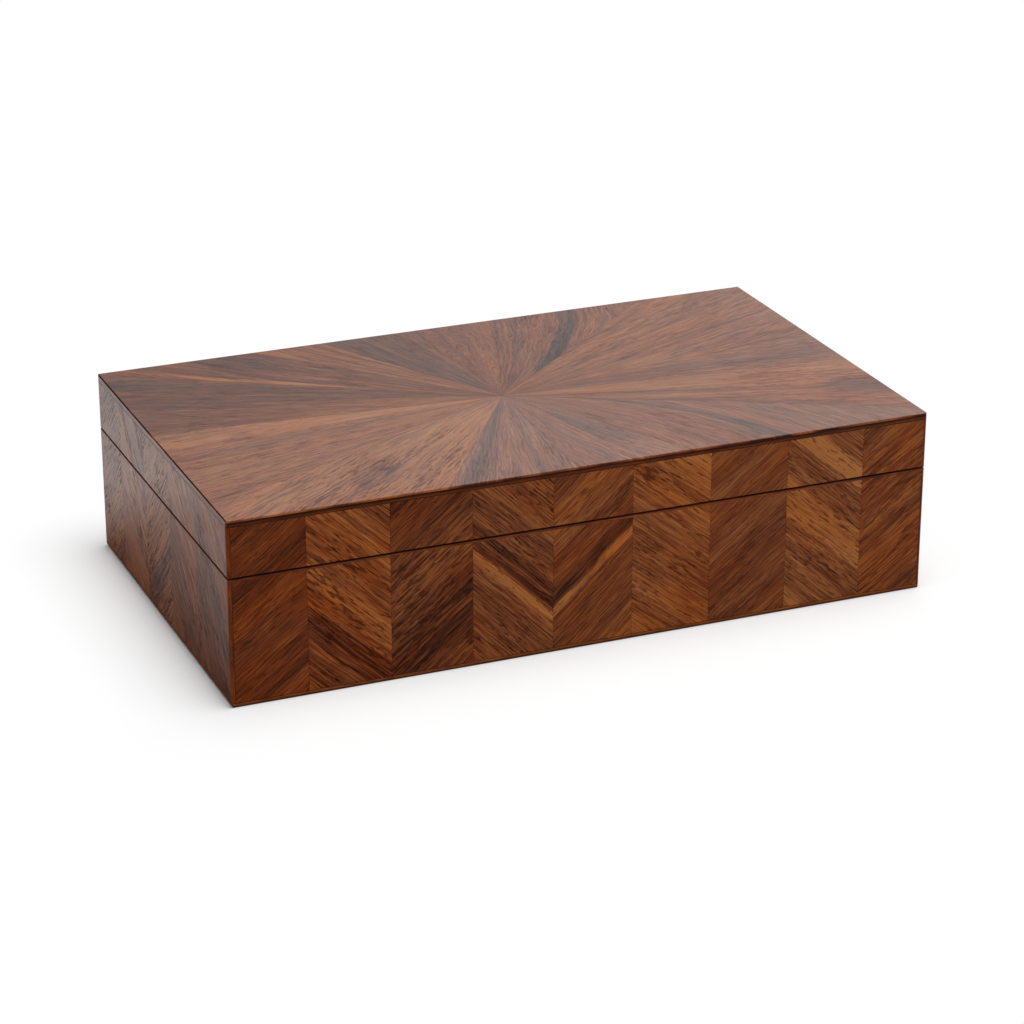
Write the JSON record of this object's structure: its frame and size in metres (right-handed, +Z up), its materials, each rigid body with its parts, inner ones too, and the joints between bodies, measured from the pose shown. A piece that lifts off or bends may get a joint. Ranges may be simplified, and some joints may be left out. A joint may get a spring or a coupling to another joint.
{
  "type": "hinged veneered box",
  "caption": "Rectangular wooden keepsake box with a lid hinged at the back, a sunburst of veneer on top and chevron-matched veneer leaves on its sides.",
  "frame": {"origin": "centre of the underside, on the plane that the box stands on", "axes": "+X to the right along the front, +Y to the back where the hinges are, +Z up"},
  "size_m": [0.305, 0.1831, 0.0796],
  "materials": {
    "sunburst_veneer": "satin varnish over rosewood veneer",
    "side_veneer": "satin varnish over rosewood veneer",
    "edge_stringing": "satin varnish over rosewood strips",
    "cedar_carcass": "waxed cedar",
    "panel_wood": "plain sanded wood",
    "lining_felt": "short felt nap",
    "underside_baize": "short felt nap",
    "hinge_brass": "satin brass"
  },
  "bodies": {
    "base": {"base_back_board": "cedar_carcass", "base_back_veneer": "side_veneer", "base_bottom_panel": "panel_wood", "base_corner_splines": "panel_wood", "base_corner_stringing": "edge_stringing", "base_floor_lining": "lining_felt", "base_foot_bead": "edge_stringing", "base_front_board": "cedar_carcass", "base_front_veneer": "side_veneer", "base_left_board": "cedar_carcass", "base_left_veneer": "side_veneer", "base_right_board": "cedar_carcass", "base_right_veneer": "side_veneer", "base_rim_banding": "edge_stringing", "hinge_base_screws": "hinge_brass", "left_hinge_base_leaf": "hinge_brass", "left_hinge_pin": "hinge_brass", "right_hinge_base_leaf": "hinge_brass", "right_hinge_pin": "hinge_brass", "underside_baize": "underside_baize"},
    "lid": {"hinge_lid_screws": "hinge_brass", "left_hinge_lid_leaf": "hinge_brass", "lid_back_board": "cedar_carcass", "lid_back_veneer": "side_veneer", "lid_ceiling_lining": "lining_felt", "lid_corner_splines": "panel_wood", "lid_corner_stringing": "edge_stringing", "lid_edge_banding": "edge_stringing", "lid_front_board": "cedar_carcass", "lid_front_veneer": "side_veneer", "lid_left_board": "cedar_carcass", "lid_left_veneer": "side_veneer", "lid_right_board": "cedar_carcass", "lid_right_veneer": "side_veneer", "lid_rim_banding": "edge_stringing", "lid_top_panel": "panel_wood", "right_hinge_lid_leaf": "hinge_brass", "sunburst_leaf_01": "sunburst_veneer", "sunburst_leaf_02": "sunburst_veneer", "sunburst_leaf_03": "sunburst_veneer", "sunburst_leaf_04": "sunburst_veneer", "sunburst_leaf_05": "sunburst_veneer", "sunburst_leaf_06": "sunburst_veneer", "sunburst_leaf_07": "sunburst_veneer", "sunburst_leaf_08": "sunburst_veneer", "sunburst_leaf_09": "sunburst_veneer", "sunburst_leaf_10": "sunburst_veneer", "sunburst_leaf_11": "sunburst_veneer", "sunburst_leaf_12": "sunburst_veneer"}
  },
  "joints": [
    {"name": "lid_hinge", "type": "hinge", "parent": "base", "child": "lid", "pos_m": [0, 0.0915, 0.0553], "axis": [-1, 0, 0], "range_deg": [0, 95]}
  ]
}
